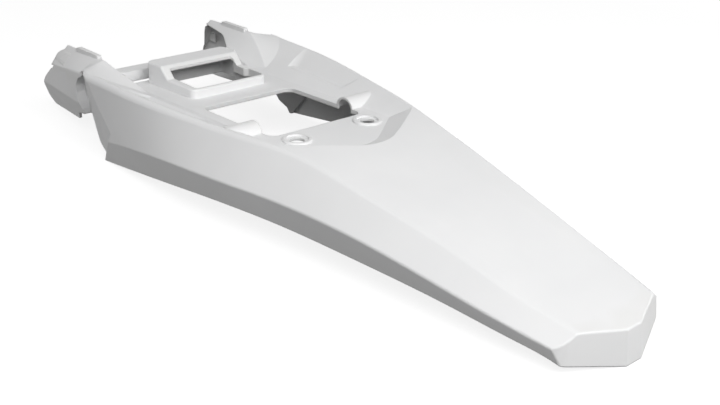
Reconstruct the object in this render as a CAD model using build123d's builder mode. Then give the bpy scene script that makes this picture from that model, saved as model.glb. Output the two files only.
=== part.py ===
from build123d import *
from math import atan2, cos, radians, sin, tan
import os

# Rear fender of an off-road motorcycle, moulded in one piece.
# Frame: +X runs back to the tail, +Y across, +Z up. The origin is midway between
# the two rear bolt holes, on the floor that their heads clamp.

# Driving dimensions, in millimetres
wall = 2.6                # moulded wall
tail_tip = 356.0          # centre of the tail end
tail_side_x = 332.0       # corner where the slanted end meets the side
tail_side_y = 69.0
tail_side_run = 11.5      # degrees by which the side closes in towards that corner
tail_side_round = 24.0
tail_flat = 9.0           # half of the short flat at the tip
tail_tip_round = 12.0
tail_level = -56.0        # height at which the outline above is true
tail_flare = 7.5          # degrees that the end skirt opens downwards
tail_edge_round = 2.0     # rounding of the deck's edge along the tail
tail_start = 290.0        # ahead of that rounding

bolt_spacing = 89.0       # rear bolts, centre to centre
bolt_hole = 14.0
bolt_ring = 29.0          # raised ring round each hole
bolt_ring_height = 2.0
bolt_dish = 22.0          # dish inside the ring, for the bolt's head
bolt_dish_level = 0.0     # the plane that the bolts clamp

floor_front = -8.0        # floor level at the front of the tray, zero at the bolts
floor_half = 70.0         # half width of the flat floor
floor_round = 4.0         # foot radius of the inner slopes
slope_rim = 5.0           # rounded strip between inner slope and side panel

riser_top = 78.0          # where the two sides of the riser would meet, at deck level
riser_foot = 57.0         # and at floor level
riser_level = 8.5         # height of the riser
riser_side_y = 150.0
riser_side_run = 111.0    # how far forward a riser side runs over that width
riser_round = 41.0

window_half = 57.5        # large window
window_front = -139.0
window_rear = -21.5
window_corner = 10.0
window_lip = 4.6          # depth of the edge round the window

arch_radius = 12.5        # half-tube hose channels at the window's sides
arch_x = -49.0
arch_axis = -4.0
arch_end = 92.0

frame_front = -254.0      # raised frame round the small window
frame_rear = -167.0
frame_half_front = 51.0
frame_half_rear = 48.0
frame_high = 17.0
frame_low = 5.0
frame_step_front = -226.0
frame_step_rear = -213.0
frame_foot = -13.0
frame_corner = 7.0
frame_edge_round = 2.4

vent_front = -223.0       # small window
vent_rear = -171.0
vent_half = 41.0
vent_notch_half = 45.4
vent_notch_front = -200.0
vent_corner = 3.0
vent_depth = 9.0          # depth of the edge at its sides and rear

crossbar_front = -283.0   # low bar between the arms
crossbar_rear = -266.0
crossbar_top = 4.0
crossbar_foot = -8.0
crossbar_half = 80.0
floor_edge = -258.0       # front edge of the tray floor

pocket_floor = 3.0        # long pockets in the inner slopes
pocket_front = -183.0
pocket_rear = -86.0
pocket_front_y = 98.0
pocket_rear_y = 88.0
pocket_slant = 1.8        # run of the pocket wall for each millimetre of rise
pocket_round = 10.0       # plan rounding of its front end
pocket_rear_round = 4.0

# Arm stations: x, then half width and height of the inner foot, the crest, the outer top
# edge, the knee and the lower edge
arm_stations = [
    (-390.0, (74.0, 0.0), (96.0, 22.3), (105.0, -6.0), (109.5, -27.0), (101.0, -56.0)),
    (-275.0, (73.0, 0.0), (97.0, 24.2), (119.5, 10.5), (121.5, -24.0), (111.0, -52.0)),
    (-262.0, (73.0, -1.0), (96.5, 23.5), (124.5, 16.2), (124.0, -24.0), (113.0, -52.0)),
    (-248.0, (72.0, -3.0), (92.5, 17.3), (127.5, 18.3), (127.0, -24.0), (114.0, -52.0)),
    (-232.0, (71.0, -6.0), (87.0, 10.0), (127.0, 16.3), (127.0, -24.0), (116.0, -52.0)),
    (-205.0, (69.0, -10.0), (76.0, -4.0), (126.0, 15.0), (126.0, -24.0), (118.0, -52.0)),
]
arm_bend = 2              # the station where the arm starts to melt into the tray
# Lower edge of the inner flange, seen from the side: the channel is open below it
arm_flange_edge = [(-600.0, 14.0), (-306.0, 13.5), (-299.0, 11.5)]
arm_lip = 104.0           # the channel is open below inside this half width
arm_under = -12.0
ridge_front = -316.0      # small raised strip along the arm's crest
ridge_rear = -271.0
ridge_inner = 94.0
ridge_outer = 99.5
ridge_top = 25.6

# Hull stations, evenly spaced: x, half width of the deck's flat middle and its height above
# the ridge, half width, height and rounding of the ridge, half width and height of the crease
stations = [
    (-300.0, 60.0, 1.0, 128.0, 18.0, 7.0, 130.0, -60.0),
    (-245.0, 60.0, 1.0, 129.0, 17.8, 7.0, 132.5, -50.5),
    (-190.0, 60.0, 1.0, 127.0, 17.2, 7.0, 134.0, -40.0),
    (-135.0, 60.0, 1.0, 122.3, 15.9, 7.0, 134.5, -32.5),
    (-80.0, 57.0, 1.0, 113.0, 13.8, 7.0, 133.5, -27.3),
    (-25.0, 48.0, 1.2, 102.0, 12.2, 7.0, 128.5, -25.0),
    (30.0, 39.0, 1.6, 87.8, 10.5, 7.0, 118.5, -24.8),
    (85.0, 38.5, 2.0, 79.0, 2.7, 6.5, 108.3, -26.7),
    (140.0, 40.5, 2.0, 72.8, -7.8, 6.0, 99.8, -31.0),
    (195.0, 44.0, 1.6, 66.0, -18.7, 5.5, 91.2, -38.7),
    (250.0, 47.0, 1.1, 61.0, -31.4, 5.0, 82.7, -48.2),
    (305.0, 47.0, 0.6, 55.0, -44.0, 5.0, 73.2, -57.2),
    (360.0, 41.0, 0.3, 48.5, -55.8, 5.0, 62.0, -67.0),
]
deck_corner = 6           # the last station that the tray reaches
crease_round = 2.4
skirt_lean = 0.24         # inward run of the skirt for each millimetre of drop
skirt_depth = 90.0        # the skirt is drawn this deep, then trimmed

# Lower edge of the skirt, seen from the side
skirt_edge = [(-217.0, -69.0), (-159.0, -62.3), (-103.0, -55.6), (-28.0, -49.0), (45.0, -49.8),
              (114.0, -53.4), (179.0, -56.8), (240.0, -61.0), (296.0, -67.2), (320.0, -70.6),
              (334.0, -74.4), (346.0, -79.2), (357.0, -84.0), (372.0, -90.0)]

# Hollow ahead of the side panel, seen from the side: panel edge, then the end of the arm's wall
recess_edge = [(-256.0, 24.0), (-252.0, 18.0), (-192.0, -31.0), (-199.0, -43.0), (-217.0, -69.0),
               (-221.0, -110.0), (-276.0, -110.0), (-277.0, -31.0), (-279.5, -23.0),
               (-285.0, -14.0), (-286.0, -6.0), (-281.0, 2.5), (-270.0, 7.5), (-259.0, 12.5)]
recess_round = [0, 1, 2, 2, 0, 0, 0, 3, 4, 4, 4, 4, 0, 0]

# Wall at the bottom of that hollow, in plan at two heights
recess_high = 40.0
recess_low = -90.0
recess_plan_high = [(-310.0, 109.0), (-276.0, 110.0), (-256.3, 130.2), (-150.0, 150.9)]
recess_plan_low = [(-310.0, 107.0), (-272.0, 108.0), (-230.7, 117.4), (-150.0, 133.1)]

# Front end and lower edge of the arm and of the wall behind it, seen from the side
front_edge = [(-339.0, 30.0), (-342.0, 18.0), (-353.0, 12.5), (-357.5, 3.0), (-359.5, -3.2),
              (-352.0, -1.8), (-352.0, -4.2), (-360.0, -7.0), (-375.0, -20.0), (-380.0, -30.0),
              (-377.0, -44.0), (-366.0, -51.5), (-300.0, -50.0), (-292.0, -40.0), (-270.0, -36.0),
              (-255.0, -39.0), (-243.0, -48.0), (-235.0, -57.0), (-222.0, -63.0), (-217.0, -69.0)]
front_round = [0, 5, 3, 2, 0.5, 0.5, 0.5, 0.5, 8, 8, 8, 5, 4, 4, 5, 5, 3, 4, 2, 0]

# Sizes worked out from those above
reach = 200.0             # further out than any surface


def floor_level(x):
    return floor_front * max(0.0, -x) / -crossbar_front


def hull_face(station, inset):
    """Cross-section of the hull at one station, drawn deeper than the skirt."""
    x, middle_y, middle_rise, ridge_y, ridge_z, ridge_round, crease_y, crease_z = station
    middle_z = ridge_z + middle_rise
    low_y = crease_y - skirt_lean * skirt_depth
    low_z = crease_z - skirt_depth
    with BuildSketch(Plane.YZ.offset(x)) as face:
        with BuildLine():
            FilletPolyline((middle_y, middle_z), (ridge_y, ridge_z), (crease_y, crease_z),
                           (low_y, low_z), (-low_y, low_z), (-crease_y, crease_z),
                           (-ridge_y, ridge_z), (-middle_y, middle_z),
                           radius=[0, ridge_round, crease_round, 0, 0, crease_round, ridge_round, 0],
                           close=True)
        make_face()
        if inset > 0:
            offset(amount=-inset, kind=Kind.INTERSECTION)
    return face.sketch


def tail_outline(inset):
    """Plan outline whose rear end is the blunt tail."""
    top = reach / 2
    narrowing = (top - tail_level) * tan(radians(tail_flare))
    wide_x = tail_side_x - 4 * reach
    wide_y = tail_side_y + 4 * reach * tan(radians(tail_side_run))
    with BuildSketch(Plane.XY.offset(top)) as outline:
        with BuildLine():
            FilletPolyline((wide_x, wide_y), (tail_side_x, tail_side_y), (tail_tip, tail_flat),
                           (tail_tip, -tail_flat), (tail_side_x, -tail_side_y), (wide_x, -wide_y),
                           radius=[0, tail_side_round, tail_tip_round, tail_tip_round,
                                   tail_side_round, 0], close=True)
        make_face()
        offset(amount=-inset - narrowing, kind=Kind.INTERSECTION)
    return outline.sketch


def hull(inset):
    """The hull as one solid, closed below, cut to the plan outline of the tail."""
    with BuildPart() as body:
        loft(sections=[hull_face(station, inset) for station in stations])
        extrude(to_extrude=tail_outline(inset), amount=-2 * reach, taper=-tail_flare,
                mode=Mode.INTERSECT)
    if inset > 0:
        return body.part
    # The tail's upper edge is rounded on the rear end alone, which then joins the rest
    with BuildPart() as tail:
        add(body.part)
        split(bisect_by=Plane.YZ.offset(tail_start), keep=Keep.TOP)
        rim = tail.edges().filter_by(lambda e: e.center().X > tail_side_x - 5
                                     and e.center().Z > stations[-1][7]
                                     and abs(e.tangent_at(0.5).X) < 0.9)
        fillet(rim, tail_edge_round)
    with BuildPart() as whole:
        add(body.part)
        split(bisect_by=Plane.YZ.offset(tail_start), keep=Keep.BOTTOM)
        add(tail.part)
    return whole.part


def tray_face(x, ridge_y, ridge_z, grow):
    """Cross-section of the space above the tray, between the inner slopes."""
    level = floor_level(x)
    rise = (ridge_z - level) / (ridge_y - slope_rim - floor_half)
    wide_y = ridge_y + 30
    wide_z = level + rise * (wide_y - floor_half)
    with BuildSketch(Plane.YZ.offset(x)) as face:
        with BuildLine():
            FilletPolyline((-floor_half, level), (floor_half, level), (wide_y, wide_z),
                           (wide_y, reach), (-wide_y, reach), (-wide_y, wide_z),
                           radius=[floor_round, floor_round, 0, 0, 0, 0], close=True)
        make_face()
        if grow > 0:
            offset(amount=grow, kind=Kind.INTERSECTION)
    return face.sketch


def riser_face(z, shift):
    """Plan outline of the riser at one height."""
    tip = riser_foot + (riser_top - riser_foot) * z / riser_level + shift
    side = tip - riser_side_run
    with BuildSketch(Plane.XY.offset(z)) as face:
        with BuildLine():
            FilletPolyline((tip, 0), (side, riser_side_y), (-2 * reach, riser_side_y),
                           (-2 * reach, -riser_side_y), (side, -riser_side_y),
                           radius=[riser_round, 0, 0, 0, 0], close=True)
        make_face()
    return face.sketch


def tray(grow):
    """The space above the tray floor, from the front to the riser."""
    plan_angle = atan2(riser_side_run, riser_side_y)
    run = (riser_top - riser_foot) * cos(plan_angle)
    shift = grow / sin(atan2(riser_level, run)) / cos(plan_angle)
    last = stations[deck_corner]
    faces = [tray_face(station[0], station[3], station[4], grow)
             for station in stations[:deck_corner + 1]]
    faces.append(tray_face(stations[deck_corner + 1][0], last[3], last[4], grow))
    with BuildPart() as space:
        loft(sections=faces)
        loft(sections=[riser_face(-20.0, shift), riser_face(60.0, shift)], ruled=True,
             mode=Mode.INTERSECT)
    return space.part


def pocket(grow):
    """The long tapering pocket in the slope on the +Y side."""
    def outline(z):
        run = pocket_slant * (z - pocket_floor)
        with BuildSketch(Plane.XY.offset(z - grow)) as face:
            with BuildLine():
                FilletPolyline((pocket_front - run / 2 - grow, floor_half - 20),
                               (pocket_front - run / 2 - grow, pocket_front_y + run + grow),
                               (pocket_rear + run / 2 + grow, pocket_rear_y + run + grow),
                               (pocket_rear + run / 2 + grow, floor_half - 20),
                               radius=[0, pocket_round, pocket_rear_round, 0], close=True)
            make_face()
        return face.sketch
    with BuildPart() as space:
        loft(sections=[outline(pocket_floor), outline(pocket_floor + 20)], ruled=True)
    return space.part


def arch(radius):
    """Half-tube that carries a hose over the window's edge, on the +Y side."""
    with BuildPart() as tube:
        with BuildSketch(Plane.XZ.offset(-arch_end)):
            with Locations((arch_x, arch_axis)):
                Circle(radius)
        extrude(amount=arch_end - window_half + 2 * wall)
    return tube.part


def frame_block(inset):
    """The raised frame as a block, with its foot left open downwards when inset."""
    foot = frame_foot - (reach if inset > 0 else 0)
    with BuildPart() as block:
        with BuildSketch(Plane.XY.offset(foot)):
            with BuildLine():
                FilletPolyline((frame_front, frame_half_front), (frame_rear, frame_half_rear),
                               (frame_rear, -frame_half_rear), (frame_front, -frame_half_front),
                               radius=frame_corner, close=True)
            make_face()
            if inset > 0:
                offset(amount=-inset, kind=Kind.INTERSECTION)
        extrude(amount=frame_high - foot)
        with BuildSketch(Plane.XZ.offset(-reach / 2)):
            with BuildLine():
                Polyline((frame_front - 5, foot), (frame_front - 5, frame_high - inset),
                         (frame_step_front - inset / 2, frame_high - inset),
                         (frame_step_rear - inset / 2, frame_low - inset),
                         (frame_rear + 5, frame_low - inset), (frame_rear + 5, foot), close=True)
            make_face()
        extrude(amount=reach, mode=Mode.INTERSECT)
        if inset == 0:
            tops = block.edges().filter_by(lambda e: e.center().Z > frame_low - 0.5)
            fillet(tops, frame_edge_round)
    return block.part


def plan_prism(points, radii, low, high):
    """Upright prism on a closed plan outline."""
    with BuildPart() as prism:
        with BuildSketch(Plane.XY.offset(low)):
            with BuildLine():
                FilletPolyline(*points, radius=radii, close=True)
            make_face()
        extrude(amount=high - low)
    return prism.part


def side_prism(points, inner, outer):
    """Prism across the fender on a side outline, between two half widths on the +Y side."""
    with BuildPart() as prism:
        with BuildSketch(Plane.XZ.offset(-outer)):
            with BuildLine():
                Polyline(*points, close=True)
            make_face()
        extrude(amount=outer - inner)
    return prism.part


def window_prism(grow, low, high):
    half = window_half + grow
    corner = window_corner + grow
    points = [(window_front - grow, half), (window_rear + grow, half),
              (window_rear + grow, -half), (window_front - grow, -half)]
    return plan_prism(points, corner, low, high)


def arm_form(inset):
    """One arm and its root in the tray, on the +Y side, as a solid."""
    def section(x, foot, crest, outer, knee, low):
        with BuildSketch(Plane.YZ.offset(x)) as face:
            with BuildLine():
                FilletPolyline((foot[0], low[1]), foot, crest, outer, knee, low,
                               radius=[0, 2, 2, 4, 4, 0], close=True)
            make_face()
            if inset > 0:
                offset(amount=-inset, kind=Kind.INTERSECTION)
        return face.sketch
    faces = [section(*station) for station in arm_stations]
    with BuildPart() as block:
        loft(sections=faces[:arm_bend + 1], ruled=True)
        loft(sections=faces[arm_bend:])
    return block.part


def recess(grow):
    """Space in the hollow ahead of the side panel, on the +Y side."""
    def slab(points, z):
        with BuildSketch(Plane.XY.offset(z)) as face:
            with BuildLine():
                Polyline(*[(x, y - grow) for x, y in points], (points[-1][0], reach),
                         (points[0][0], reach), close=True)
            make_face()
        return face.sketch
    with BuildPart() as space:
        loft(sections=[slab(recess_plan_low, recess_low), slab(recess_plan_high, recess_high)],
             ruled=True)
        with BuildSketch(Plane.XZ.offset(-reach)):
            with BuildLine():
                FilletPolyline(*recess_edge, radius=recess_round, close=True)
            make_face()
            if grow > 0:
                offset(amount=grow, kind=Kind.INTERSECTION)
        extrude(amount=reach, mode=Mode.INTERSECT)
    return space.part


def crossbar(inset):
    """The bar between the arms as a block, left open downwards when inset."""
    foot = crossbar_foot - (reach if inset > 0 else 0)
    top = crossbar_top - inset
    with BuildPart() as bar:
        with Locations(((crossbar_front + crossbar_rear) / 2, 0, (top + foot) / 2)):
            Box(crossbar_rear - crossbar_front - 2 * inset, 2 * crossbar_half, top - foot)
    return bar.part


def window_edge():
    """Turned-down edge round the large window."""
    with BuildPart() as edge:
        add(window_prism(wall, -reach, reach))
        add(window_prism(0, -reach, reach), mode=Mode.SUBTRACT)
        front = 2 * window_front
        with BuildSketch(Plane.XZ.offset(-reach)):
            with BuildLine():
                Polyline((front, floor_level(front) - wall / 2), (0, -wall / 2), (-window_rear, -wall / 2),
                         (-window_rear, -window_lip), (0, -window_lip),
                         (front, floor_level(front) - window_lip), close=True)
            make_face()
        extrude(amount=2 * reach, mode=Mode.INTERSECT)
    return edge.part


def vent_prism(grow, low, high):
    """Upright prism on the outline of the small window, with its notched corner."""
    with BuildPart() as prism:
        with BuildSketch(Plane.XY.offset(low)):
            with BuildLine():
                FilletPolyline((vent_front, vent_half), (vent_notch_front, vent_half),
                               (vent_notch_front + 4, vent_notch_half), (vent_rear, vent_notch_half),
                               (vent_rear, -vent_half), (vent_front, -vent_half),
                               radius=vent_corner, close=True)
            make_face()
            if grow > 0:
                offset(amount=grow, kind=Kind.INTERSECTION)
        extrude(amount=high - low)
    return prism.part


def vent_edge():
    """Turned-down edge at the sides and rear of the small window."""
    with BuildPart() as edge:
        add(frame_block(0))
        add(vent_prism(wall, frame_low - vent_depth, 2 * frame_high), mode=Mode.INTERSECT)
        add(vent_prism(0, -reach, reach), mode=Mode.SUBTRACT)
        split(bisect_by=Plane.YZ.offset(vent_front + vent_corner), keep=Keep.TOP)
    return edge.part


def bolt_seat():
    """Raised ring round one bolt hole."""
    with BuildPart() as seat:
        with Locations((0, bolt_spacing / 2, -wall)):
            Cylinder(bolt_ring / 2, bolt_ring_height + wall, align=(Align.CENTER, Align.CENTER, Align.MIN))
        chamfer(seat.edges().group_by(Axis.Z)[-1], bolt_ring_height / 2)
    return seat.part


def bolt_opening():
    """Dish for the bolt's head and the hole through it."""
    with BuildPart() as opening:
        with Locations((0, bolt_spacing / 2, bolt_dish_level)):
            Cylinder(bolt_dish / 2, reach / 10, align=(Align.CENTER, Align.CENTER, Align.MIN))
        with Locations((0, bolt_spacing / 2, 0)):
            Cylinder(bolt_hole / 2, reach / 10)
    return opening.part


def arm_details():
    """Raised strip along the crest of the +Y arm."""
    points = [(ridge_front, 21.0), (ridge_front, ridge_top - 1), (ridge_front + 1.5, ridge_top),
              (ridge_rear - 1.5, ridge_top + 0.5), (ridge_rear, ridge_top - 0.5), (ridge_rear, 21.0)]
    return side_prism(points, ridge_inner, ridge_outer)


def both_sides(piece, mode):
    """Adds a piece made for the +Y side, and its mirror image."""
    add(piece, mode=mode)
    add(mirror(piece, about=Plane.XZ, mode=Mode.PRIVATE), mode=mode)


bay_box = [(-2 * reach, -reach), (-2 * reach, reach), (floor_edge, reach), (floor_edge, -reach)]
bay = plan_prism(bay_box, 0, -reach, reach)

with BuildPart() as outside:
    add(hull(0))
    add(tray(0), mode=Mode.SUBTRACT)
    both_sides(pocket(0), Mode.SUBTRACT)
    both_sides(arch(arch_radius), Mode.ADD)
    add(bay, mode=Mode.SUBTRACT)
    add(frame_block(0))
    both_sides(arm_form(0), Mode.ADD)
    add(crossbar(0))
    both_sides(recess(0), Mode.SUBTRACT)

with BuildPart() as inside:
    add(hull(wall))
    add(tray(wall), mode=Mode.SUBTRACT)
    both_sides(pocket(wall), Mode.SUBTRACT)
    both_sides(arch(arch_radius - wall), Mode.ADD)
    add(bay, mode=Mode.SUBTRACT)
    add(frame_block(0), mode=Mode.SUBTRACT)
    add(frame_block(wall))
    both_sides(arm_form(wall), Mode.ADD)
    add(crossbar(wall))
    both_sides(recess(wall), Mode.SUBTRACT)

with BuildPart() as fender:
    add(outside.part)
    add(inside.part, mode=Mode.SUBTRACT)

    # Below the skirt's edge, and ahead of and below the arms
    with BuildSketch(Plane.XZ.offset(-reach)):
        with BuildLine():
            Spline(*skirt_edge)
            Polyline(skirt_edge[-1], (skirt_edge[-1][0], -reach), (skirt_edge[0][0], -reach),
                     skirt_edge[0])
        make_face()
    extrude(amount=2 * reach, mode=Mode.SUBTRACT)
    ahead = front_edge + [(skirt_edge[0][0], -reach), (-3 * reach, -reach), (-3 * reach, front_edge[0][1])]
    with BuildSketch(Plane.XZ.offset(-reach)):
        with BuildLine():
            FilletPolyline(*ahead, radius=front_round + [0, 0, 0], close=True)
        make_face()
    extrude(amount=2 * reach, mode=Mode.SUBTRACT)

    # Open undersides and inner sides of the arms
    under = arm_flange_edge + [(crossbar_front, crossbar_top), (crossbar_front, arm_under),
                               (floor_edge, arm_under), (floor_edge, -reach), (-3 * reach, -reach)]
    both_sides(side_prism(under, 0, arm_lip), Mode.SUBTRACT)

    # Windows and bolt holes
    add(window_prism(0, -reach, 30.0), mode=Mode.SUBTRACT)
    add(window_edge())
    both_sides(arch(arch_radius - wall), Mode.SUBTRACT)
    add(vent_prism(0, -reach / 4, reach), mode=Mode.SUBTRACT)
    add(vent_edge())
    both_sides(bolt_seat(), Mode.ADD)
    both_sides(bolt_opening(), Mode.SUBTRACT)
    both_sides(arm_details(), Mode.ADD)

fender.part.label = "fender"
os.makedirs("parts", exist_ok=True)
export_step(fender.part, "parts/fender.step")
print(len(fender.part.solids()), fender.part.volume, fender.part.bounding_box())
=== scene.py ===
import math

import bmesh
import bpy
from mathutils import Matrix, Vector


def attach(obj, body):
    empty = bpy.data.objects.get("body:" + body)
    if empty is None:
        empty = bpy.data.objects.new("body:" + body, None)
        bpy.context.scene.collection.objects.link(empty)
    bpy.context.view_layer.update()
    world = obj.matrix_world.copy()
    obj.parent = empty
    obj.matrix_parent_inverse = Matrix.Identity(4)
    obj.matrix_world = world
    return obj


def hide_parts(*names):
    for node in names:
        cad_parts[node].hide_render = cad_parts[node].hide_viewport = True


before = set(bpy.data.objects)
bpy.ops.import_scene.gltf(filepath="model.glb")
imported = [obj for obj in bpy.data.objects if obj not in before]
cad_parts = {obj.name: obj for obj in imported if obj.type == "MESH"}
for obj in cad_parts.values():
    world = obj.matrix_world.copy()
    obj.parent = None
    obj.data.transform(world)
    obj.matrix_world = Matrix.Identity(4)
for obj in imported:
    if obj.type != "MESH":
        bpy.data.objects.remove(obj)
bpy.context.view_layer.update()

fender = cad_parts["fender"]
scene = bpy.context.scene

WHITE = (1, 1, 1, 1)
BLACK = (0, 0, 0, 1)

# Camera: position and viewing axes, solved from the photograph's perspective
CAMERA_AT = Vector((0.7386, -0.6480, 0.3623))
CAMERA_RIGHT = Vector((0.66982, 0.74181, 0.03270))
CAMERA_DOWN = Vector((0.32223, -0.25072, -0.91286))
CAMERA_LENS = 54.08
CAMERA_SENSOR = 36.0
CAMERA_CLIP = (0.01, 50.0)

# The plane that the fender rests on: front corners of the skirts and the tail's lower edge
REST_FRONT = (-0.217, -0.0690)
REST_REAR = (0.3598, -0.0852)

# Square soft lamps, all as far from the point that they aim at
LAMPS = [
    # name, direction from the fender to the lamp, watts
    ("key", (0.74, 0.00, 0.67), 21.5),
    ("camera_side", (0.53, -0.53, 0.67), 17.0),
    ("far_side", (0.69, 0.69, 0.21), 5.2),
    ("arm_side", (-0.69, -0.69, 0.21), 3.4),
]
LAMP_AIM = Vector((0.0, 0.0, -0.02))
LAMP_DISTANCE = 2.0
LAMP_SIZE = 1.1

AMBIENT = 0.15         # strength of the surroundings as light; where they are seen it is 1

FLOOR_HALF = 6.0
FLOOR_ROUGHNESS = 0.9
FLOOR_LIT = (0.03, 0.03, 0.03, 1)      # colour for the light that it sends back up
FLOOR_SEEN = (0.30, 0.30, 0.30, 1)     # colour where it is seen
FLOOR_GLOW = 0.84      # near the fender, where the lamps add to it and shadows show
FLOOR_FAR_GLOW = 1.0   # beyond the lamps, so that the floor meets the white surroundings
FLOOR_FADE = (0.9, 1.8)                # distances between which the glow goes from one to the other

# Plastic. The scales of its patterns are in features to a metre
PLASTIC_IOR = 1.49
CLOUD_SCALE = 14.0
CLOUD_COLOURS = [(0.3, (0.800, 0.802, 0.806, 1)), (0.7, (0.828, 0.829, 0.831, 1))]
WORN_COLOUR = (0.79, 0.79, 0.785, 1)
WORN_POINTINESS = (0.52, 0.62)         # at which the wear of an edge begins, and is full
FLOW_SCALE = 45.0
FLOW_STRETCH = (0.35, 1.0, 1.0)        # makes the pattern longer along the part
FLOW_ROUGHNESS = (0.40, 0.50)
GRAIN_SCALE = 2600.0
GRAIN_STRENGTH = 0.10
GRAIN_HEIGHT = 0.00006
EDGE_RADIUS = 0.0014
EDGE_SAMPLES = 6

# The flanges of the arms end in thin points in the CAD mesh. Their vertices lie ahead of the
# first x, nearer to the middle plane than the first y and above the first z. They are drawn
# back to the second x and z, and stay at least the second y away from the middle plane
POINT_X, FLANGE_END_X = -0.3500, -0.3441
POINT_Y, FLANGE_END_Y = 0.0995, 0.0904
POINT_Z, FLANGE_END_Z = 0.0130, 0.0169

# From here on measures are in millimetres, and on the side where y is positive
MM_PER_METRE = 1000

# The arm's upper outer slope, between its crest and its lower edge
SLOPE_X = -390.0
SLOPE_LENGTH = 115.0
SLOPE_LINES = [        # value at that x, and its change over that length
    (96.0, 1.0),       # y of the crest
    (22.3, 1.9),       # z of the crest
    (105.0, 14.5),     # y of the lower edge
    (-6.0, 16.5),      # z of the lower edge
]
SLOPE_NORMAL = (0.846, 0.533)          # its y and z

# The plate lies just proud of the CAD slope and sinks into it along its borders
TAB_WALL = 2.4
TAB_PROUD = 0.04
TAB_SUNK = -0.3
TAB_COLUMNS = [        # x, height of the top, and height over the CAD slope
    (-355.2, 8.4, TAB_PROUD), (-353.4, 11.6, TAB_PROUD), (-352.0, 12.6, TAB_PROUD),
    (-348.0, 14.7, TAB_PROUD), (-343.5, 16.4, TAB_PROUD), (-331.0, 16.8, TAB_PROUD),
    (-326.0, 16.8, TAB_SUNK),
]
TAB_TOP_SUNK_FROM = -345.0             # behind this x the top is a sunk border too
TAB_BORDER = 1.6                       # height of that border
TAB_BORDER_LOWEST = 8.0                # its lower line comes no lower
TAB_FOOT = (7.5, 4.5)                  # upper and lower line of the border at the foot

LIP_EDGE = [
    (-345.5, 98.5, 16.0), (-352.0, 101.5, 9.0), (-356.5, 105.5, 1.0), (-359.5, 107.5, -6.0),
    (-366.0, 108.0, -12.5), (-375.0, 108.2, -21.5), (-378.5, 108.4, -28.5),
]
LIP_INNER = [
    (-343.0, 88.5, 14.5), (-348.5, 91.0, 6.5), (-354.0, 94.5, -1.0), (-359.5, 98.0, -8.5),
    (-365.0, 101.5, -15.0), (-371.5, 104.5, -22.0), (-376.5, 106.8, -29.5),
]
LIP_THICKNESS = (1.9, 0.0, 0.8)        # along, across and up

WEB_ROWS = [[(-358.0, -9.0), (-344.0, -9.0)], [(-356.0, 1.5), (-344.0, 1.5)]]
WEB_OUTER_Y = 105.2
WEB_INNER_Y = 104.2


def principled(name):
    """New material, with its nodes, its links and its shader."""
    material = bpy.data.materials.new(name)
    material.use_nodes = True
    nodes = material.node_tree.nodes
    return material, nodes, material.node_tree.links, nodes["Principled BSDF"]


def noise(nodes, links, place, scale, detail):
    """Output of a noise texture that is laid over the given coordinates."""
    texture = nodes.new("ShaderNodeTexNoise")
    texture.inputs["Scale"].default_value = scale
    texture.inputs["Detail"].default_value = detail
    links.new(place, texture.inputs["Vector"])
    return texture.outputs["Fac"]


def ramp(nodes, links, value, stops):
    """Output of a colour ramp with two stops, each a position and its colour."""
    node = nodes.new("ShaderNodeValToRGB")
    for element, (position, colour) in zip(node.color_ramp.elements, stops):
        element.position = position
        element.color = colour
    links.new(value, node.inputs["Fac"])
    return node.outputs["Color"]


def white_plastic():
    """Satin moulded polypropylene: fine grain, faint flow variation, slightly duller edges."""
    material, nodes, links, shader = principled("white_plastic")
    shader.inputs["IOR"].default_value = PLASTIC_IOR
    place = nodes.new("ShaderNodeTexCoord").outputs["Object"]

    # Faint cloudiness of the colour, a few centimetres across
    cloud = noise(nodes, links, place, CLOUD_SCALE, detail=3.0)
    tint = ramp(nodes, links, cloud, CLOUD_COLOURS)

    # Edges handled in moulding and packing are a touch duller
    pointiness = nodes.new("ShaderNodeNewGeometry").outputs["Pointiness"]
    edge = ramp(nodes, links, pointiness, zip(WORN_POINTINESS, (BLACK, WHITE)))
    wear = nodes.new("ShaderNodeMix")
    wear.data_type = "RGBA"
    wear.inputs["B"].default_value = WORN_COLOUR
    links.new(edge, wear.inputs["Factor"])
    links.new(tint, wear.inputs["A"])
    links.new(wear.outputs["Result"], shader.inputs["Base Color"])

    # Roughness drifts with the melt's flow along the part
    stretch = nodes.new("ShaderNodeMapping")
    stretch.inputs["Scale"].default_value = FLOW_STRETCH
    links.new(place, stretch.inputs["Vector"])
    flow = noise(nodes, links, stretch.outputs["Vector"], FLOW_SCALE, detail=4.0)
    gloss = nodes.new("ShaderNodeMapRange")
    gloss.inputs["To Min"].default_value = FLOW_ROUGHNESS[0]
    gloss.inputs["To Max"].default_value = FLOW_ROUGHNESS[1]
    links.new(flow, gloss.inputs["Value"])
    links.new(gloss.outputs["Result"], shader.inputs["Roughness"])

    # Fine spark-eroded grain of the mould, about a third of a millimetre
    grain = noise(nodes, links, place, GRAIN_SCALE, detail=2.0)
    bump = nodes.new("ShaderNodeBump")
    bump.inputs["Strength"].default_value = GRAIN_STRENGTH
    bump.inputs["Distance"].default_value = GRAIN_HEIGHT
    links.new(grain, bump.inputs["Height"])

    # Every moulded edge is broken by a small radius, which catches the light
    broken = nodes.new("ShaderNodeBevel")
    broken.samples = EDGE_SAMPLES
    broken.inputs["Radius"].default_value = EDGE_RADIUS
    links.new(broken.outputs["Normal"], bump.inputs["Normal"])
    links.new(bump.outputs["Normal"], shader.inputs["Normal"])
    return material


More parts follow.
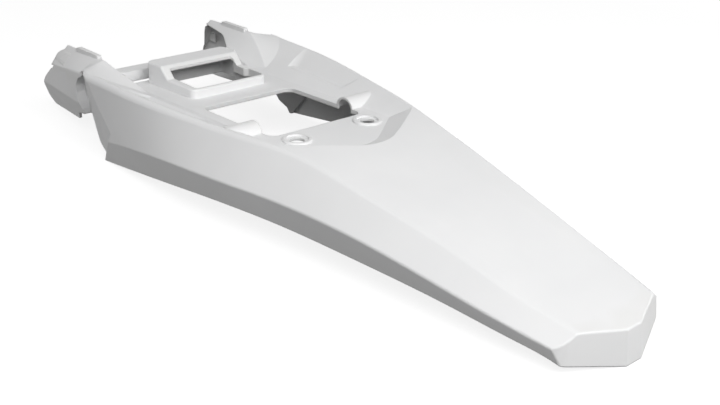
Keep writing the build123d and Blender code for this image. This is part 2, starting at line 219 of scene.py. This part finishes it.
def trimmed_shell(material):
    """Copy of the CAD shell without the thin points ahead of the arms' flanges, in its place."""
    mesh = fender.data.copy()
    for vertex in mesh.vertices:
        x, y, z = vertex.co
        if x < POINT_X and abs(y) < POINT_Y and z > POINT_Z:
            end_y = math.copysign(max(abs(y), FLANGE_END_Y), y)
            vertex.co = (FLANGE_END_X, end_y, FLANGE_END_Z)
    mesh.materials.clear()
    mesh.materials.append(material)
    shell = bpy.data.objects.new("fender_shell", mesh)
    shell.matrix_world = fender.matrix_world
    scene.collection.objects.link(shell)
    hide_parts("fender")
    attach(shell, "root")


def closed_strip(outer, inner, side):
    """Closed thin mesh between rows of outer and rows of inner points, on one side."""
    mesh = bmesh.new()
    rows = []
    for row in outer + inner[::-1]:
        rows.append([mesh.verts.new((x / MM_PER_METRE, side * y / MM_PER_METRE, z / MM_PER_METRE))
                     for x, y, z in row])
    for one, two in zip(rows, rows[1:] + rows[:1]):
        for k in range(len(one) - 1):
            mesh.faces.new((one[k], one[k + 1], two[k + 1], two[k]))
    mesh.faces.new([row[0] for row in rows])
    mesh.faces.new([row[-1] for row in rows][::-1])
    bmesh.ops.triangulate(mesh, faces=mesh.faces)
    bmesh.ops.recalc_face_normals(mesh, faces=mesh.faces)
    data = bpy.data.meshes.new("strip")
    mesh.to_mesh(data)
    mesh.free()
    return data


def slope_y(x, z):
    """Distance of the arm's upper outer slope from the middle plane."""
    t = (x - SLOPE_X) / SLOPE_LENGTH
    crest_y, crest_z, lower_y, lower_z = [value + change * t for value, change in SLOPE_LINES]
    return crest_y + (lower_y - crest_y) * (crest_z - z) / (crest_z - lower_z)


def tab_plate(side):
    """The outer slope behind the arm's front tab, down to where the nose begins."""
    across, up = SLOPE_NORMAL
    outer = []
    for x, top, lift in TAB_COLUMNS:
        top_lift = TAB_SUNK if x > TAB_TOP_SUNK_FROM else lift
        points = [(top, top_lift), (max(top - TAB_BORDER, TAB_BORDER_LOWEST), lift),
                  (TAB_FOOT[0], lift), (TAB_FOOT[1], TAB_SUNK)]
        outer.append([(x, slope_y(x, z) + over * across, z + over * up) for z, over in points])
    inner = [[(x, y - TAB_WALL * across, z - TAB_WALL * up) for x, y, z in column]
             for column in outer]
    return closed_strip(list(zip(*outer)), list(zip(*inner)), side)


def nose_lip(side):
    """Lip that wraps round the front of the arm's nose, from the crest down to its tip."""
    along, across, up = LIP_THICKNESS
    front = [LIP_EDGE, LIP_INNER]
    behind = [[(x + along, y + across, z + up) for x, y, z in row] for row in front]
    return closed_strip(front, behind, side)


def notch_web(side):
    """Web inside the arm, behind the small notch between the tab and the nose."""
    outer = [[(x, WEB_OUTER_Y, z) for x, z in row] for row in WEB_ROWS]
    inner = [[(x, WEB_INNER_Y, z) for x, z in row] for row in WEB_ROWS]
    return closed_strip(outer, inner, side)


def arm_ends(material):
    """The front tab's plate, the nose's lip and the notch's web on both arms, over the shell."""
    for side, name in ((-1, "near"), (1, "far")):
        for part, make in (("tab", tab_plate), ("lip", nose_lip), ("web", notch_web)):
            mesh = make(side)
            mesh.materials.append(material)
            piece = bpy.data.objects.new("arm_" + part + "_" + name, mesh)
            scene.collection.objects.link(piece)
            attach(piece, "root")


def seen_directly(nodes, links):
    """1 on rays from the camera, and on mirror and glass rays, 0 on those that light the object."""
    path = nodes.new("ShaderNodeLightPath")
    seen = path.outputs["Is Camera Ray"]
    for kind in ("Is Glossy Ray", "Is Transmission Ray"):
        either = nodes.new("ShaderNodeMath")
        either.operation = "MAXIMUM"
        links.new(seen, either.inputs[0])
        links.new(path.outputs[kind], either.inputs[1])
        seen = either.outputs[0]
    return seen


def floor():
    """Pale floor that keeps a faint shadow; it looks white and sends little light back up."""
    material, nodes, links, shader = principled("floor")
    shader.inputs["Roughness"].default_value = FLOOR_ROUGHNESS
    shader.inputs["Specular IOR Level"].default_value = 0.0
    shader.inputs["Emission Color"].default_value = WHITE
    seen = seen_directly(nodes, links)
    pale = nodes.new("ShaderNodeMix")
    pale.data_type = "RGBA"
    pale.inputs["A"].default_value = FLOOR_LIT
    pale.inputs["B"].default_value = FLOOR_SEEN
    links.new(seen, pale.inputs["Factor"])
    links.new(pale.outputs["Result"], shader.inputs["Base Color"])

    # The glow, by the distance from the fender
    reach = nodes.new("ShaderNodeVectorMath")
    reach.operation = "LENGTH"
    links.new(nodes.new("ShaderNodeNewGeometry").outputs["Position"], reach.inputs[0])
    fade = nodes.new("ShaderNodeMapRange")
    fade.interpolation_type = "SMOOTHSTEP"
    fade.inputs["From Min"].default_value = FLOOR_FADE[0]
    fade.inputs["From Max"].default_value = FLOOR_FADE[1]
    fade.inputs["To Min"].default_value = FLOOR_GLOW
    fade.inputs["To Max"].default_value = FLOOR_FAR_GLOW
    links.new(reach.outputs["Value"], fade.inputs["Value"])
    glow = nodes.new("ShaderNodeMath")
    glow.operation = "MULTIPLY"
    links.new(seen, glow.inputs[0])
    links.new(fade.outputs["Result"], glow.inputs[1])
    links.new(glow.outputs[0], shader.inputs["Emission Strength"])

    slope = (REST_REAR[1] - REST_FRONT[1]) / (REST_REAR[0] - REST_FRONT[0])
    corners = []
    for x, y in ((-1, -1), (1, -1), (1, 1), (-1, 1)):
        x, y = x * FLOOR_HALF, y * FLOOR_HALF
        corners.append((x, y, REST_FRONT[1] + slope * (x - REST_FRONT[0])))
    mesh = bpy.data.meshes.new("floor")
    mesh.from_pydata(corners, [], [(0, 1, 2, 3)])
    mesh.materials.append(material)
    obj = bpy.data.objects.new("floor", mesh)
    scene.collection.objects.link(obj)


def surroundings():
    """White where they are seen, and a weak even light on the fender."""
    world = bpy.data.worlds.new("studio")
    world.use_nodes = True
    nodes, links = world.node_tree.nodes, world.node_tree.links
    strength = nodes.new("ShaderNodeMix")
    strength.data_type = "FLOAT"
    strength.inputs["A"].default_value = AMBIENT
    strength.inputs["B"].default_value = 1.0
    links.new(seen_directly(nodes, links), strength.inputs["Factor"])
    back = nodes["Background"]
    back.inputs["Color"].default_value = WHITE
    links.new(strength.outputs["Result"], back.inputs["Strength"])
    scene.world = world


def lamps():
    """The soft lamps, each turned to face the fender."""
    for name, direction, watts in LAMPS:
        data = bpy.data.lights.new(name, "AREA")
        data.shape = "RECTANGLE"
        data.size = LAMP_SIZE
        data.size_y = LAMP_SIZE
        data.energy = watts
        lamp = bpy.data.objects.new(name, data)
        away = Vector(direction).normalized()
        lamp.location = LAMP_AIM + away * LAMP_DISTANCE
        lamp.rotation_euler = away.to_track_quat("Z", "Y").to_euler()
        scene.collection.objects.link(lamp)


def camera():
    """The photograph's camera, with its axes squared to each other."""
    data = bpy.data.cameras.new("camera")
    data.sensor_width = CAMERA_SENSOR
    data.lens = CAMERA_LENS
    data.clip_start, data.clip_end = CAMERA_CLIP
    right = CAMERA_RIGHT.normalized()
    up = -CAMERA_DOWN.normalized()
    back = right.cross(up).normalized()
    up = back.cross(right)
    turn = Matrix((right, up, back)).transposed().to_4x4()
    obj = bpy.data.objects.new("camera", data)
    obj.matrix_world = Matrix.Translation(CAMERA_AT) @ turn
    scene.collection.objects.link(obj)
    scene.camera = obj


plastic = white_plastic()
trimmed_shell(plastic)
arm_ends(plastic)

floor()
surroundings()
lamps()
camera()
scene.view_settings.view_transform = "Standard"
